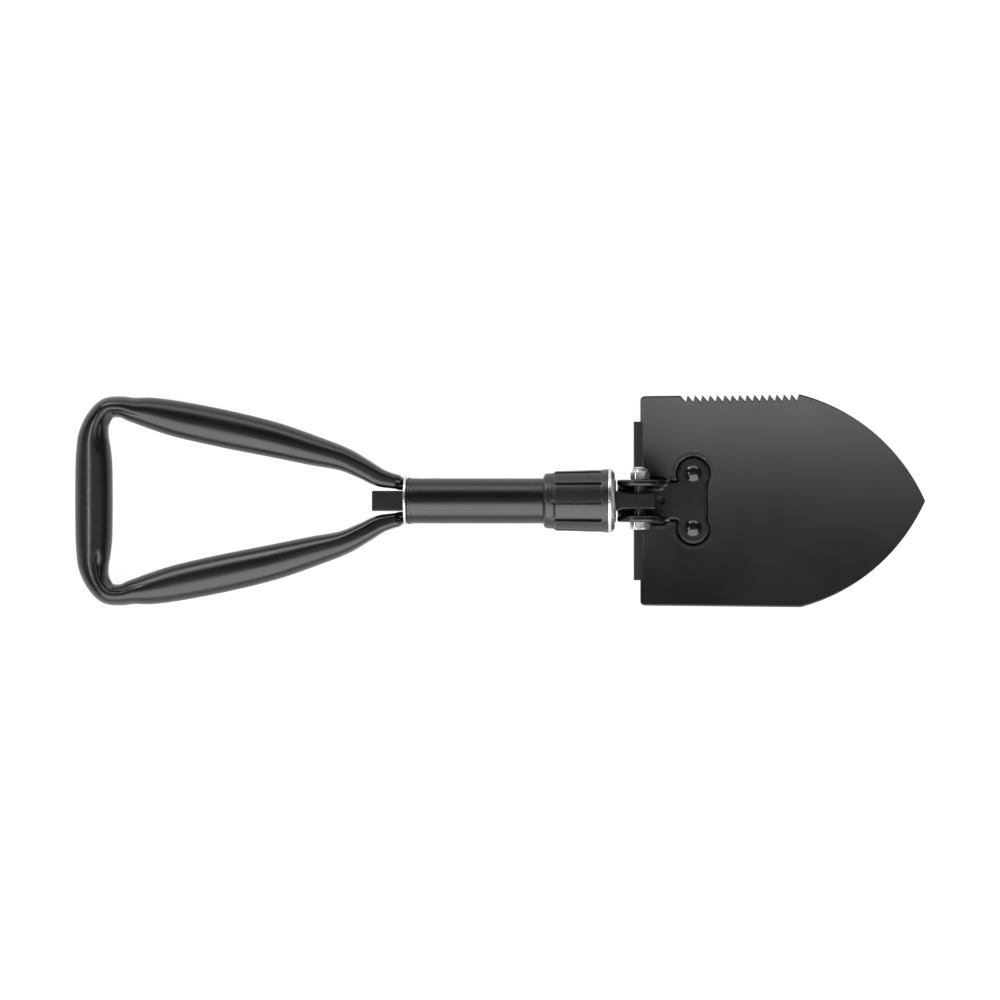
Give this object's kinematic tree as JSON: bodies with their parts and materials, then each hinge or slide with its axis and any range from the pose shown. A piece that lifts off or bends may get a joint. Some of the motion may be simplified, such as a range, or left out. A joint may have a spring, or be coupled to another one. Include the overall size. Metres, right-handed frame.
{
  "type": "folding camp shovel",
  "caption": "Compact camp shovel with a triangle handle, a screw collar lock, and a folding pointed blade with a saw edge.",
  "frame": {"origin": "on the shaft's axis, at the middle of the bare shaft tube, where a tool clip or belt loop holds it", "axes": "+X along the shaft to the blade's point, +Y to the saw edge, +Z out of the blade's hollow side"},
  "size_m": [0.4635, 0.116, 0.0475],
  "materials": {
    "black_paint": "fine satin powder coat",
    "rivet_paint": "gloss",
    "grip_plastic": "moulded satin",
    "zinc_plate": "bright zinc plate",
    "nylon": "natural nylon",
    "rubber": "matte"
  },
  "bodies": {
    "shaft": {"handle_tube": "black_paint", "handle_spacer": "black_paint", "handle_pin": "zinc_plate", "shaft_ferrule": "zinc_plate", "shaft_tube": "black_paint", "threaded_barrel": "zinc_plate", "hinge_tongue": "black_paint", "tongue_pin": "zinc_plate"},
    "thrust": {"thrust_washer": "black_paint"},
    "collar": {"collar_grip": "grip_plastic", "collar_nut": "zinc_plate", "collar_wiper": "rubber"},
    "blade": {"blade": "black_paint", "hinge_bracket": "black_paint", "blade_rivets": "rivet_paint", "pivot_bolt": "zinc_plate", "pivot_nut": "zinc_plate", "nut_insert": "nylon"}
  },
  "joints": [
    {"name": "blade_fold", "type": "hinge", "parent": "shaft", "child": "blade", "pos_m": [0.09, 0, 0], "axis": [0, -1, 0], "range_deg": [0, 180]},
    {"name": "collar_travel", "type": "slide", "parent": "shaft", "child": "thrust", "axis": [1, 0, 0], "range_m": [-0.0035, 0.0004]},
    {"name": "collar_turn", "type": "hinge", "parent": "thrust", "child": "collar", "pos_m": [0.06, 0, 0], "axis": [1, 0, 0], "range_deg": [-500, 57]}
  ],
  "couplings": [
    {"joint": "collar_travel", "follows": "collar_turn", "m_per_rad": 0.00039789}
  ]
}
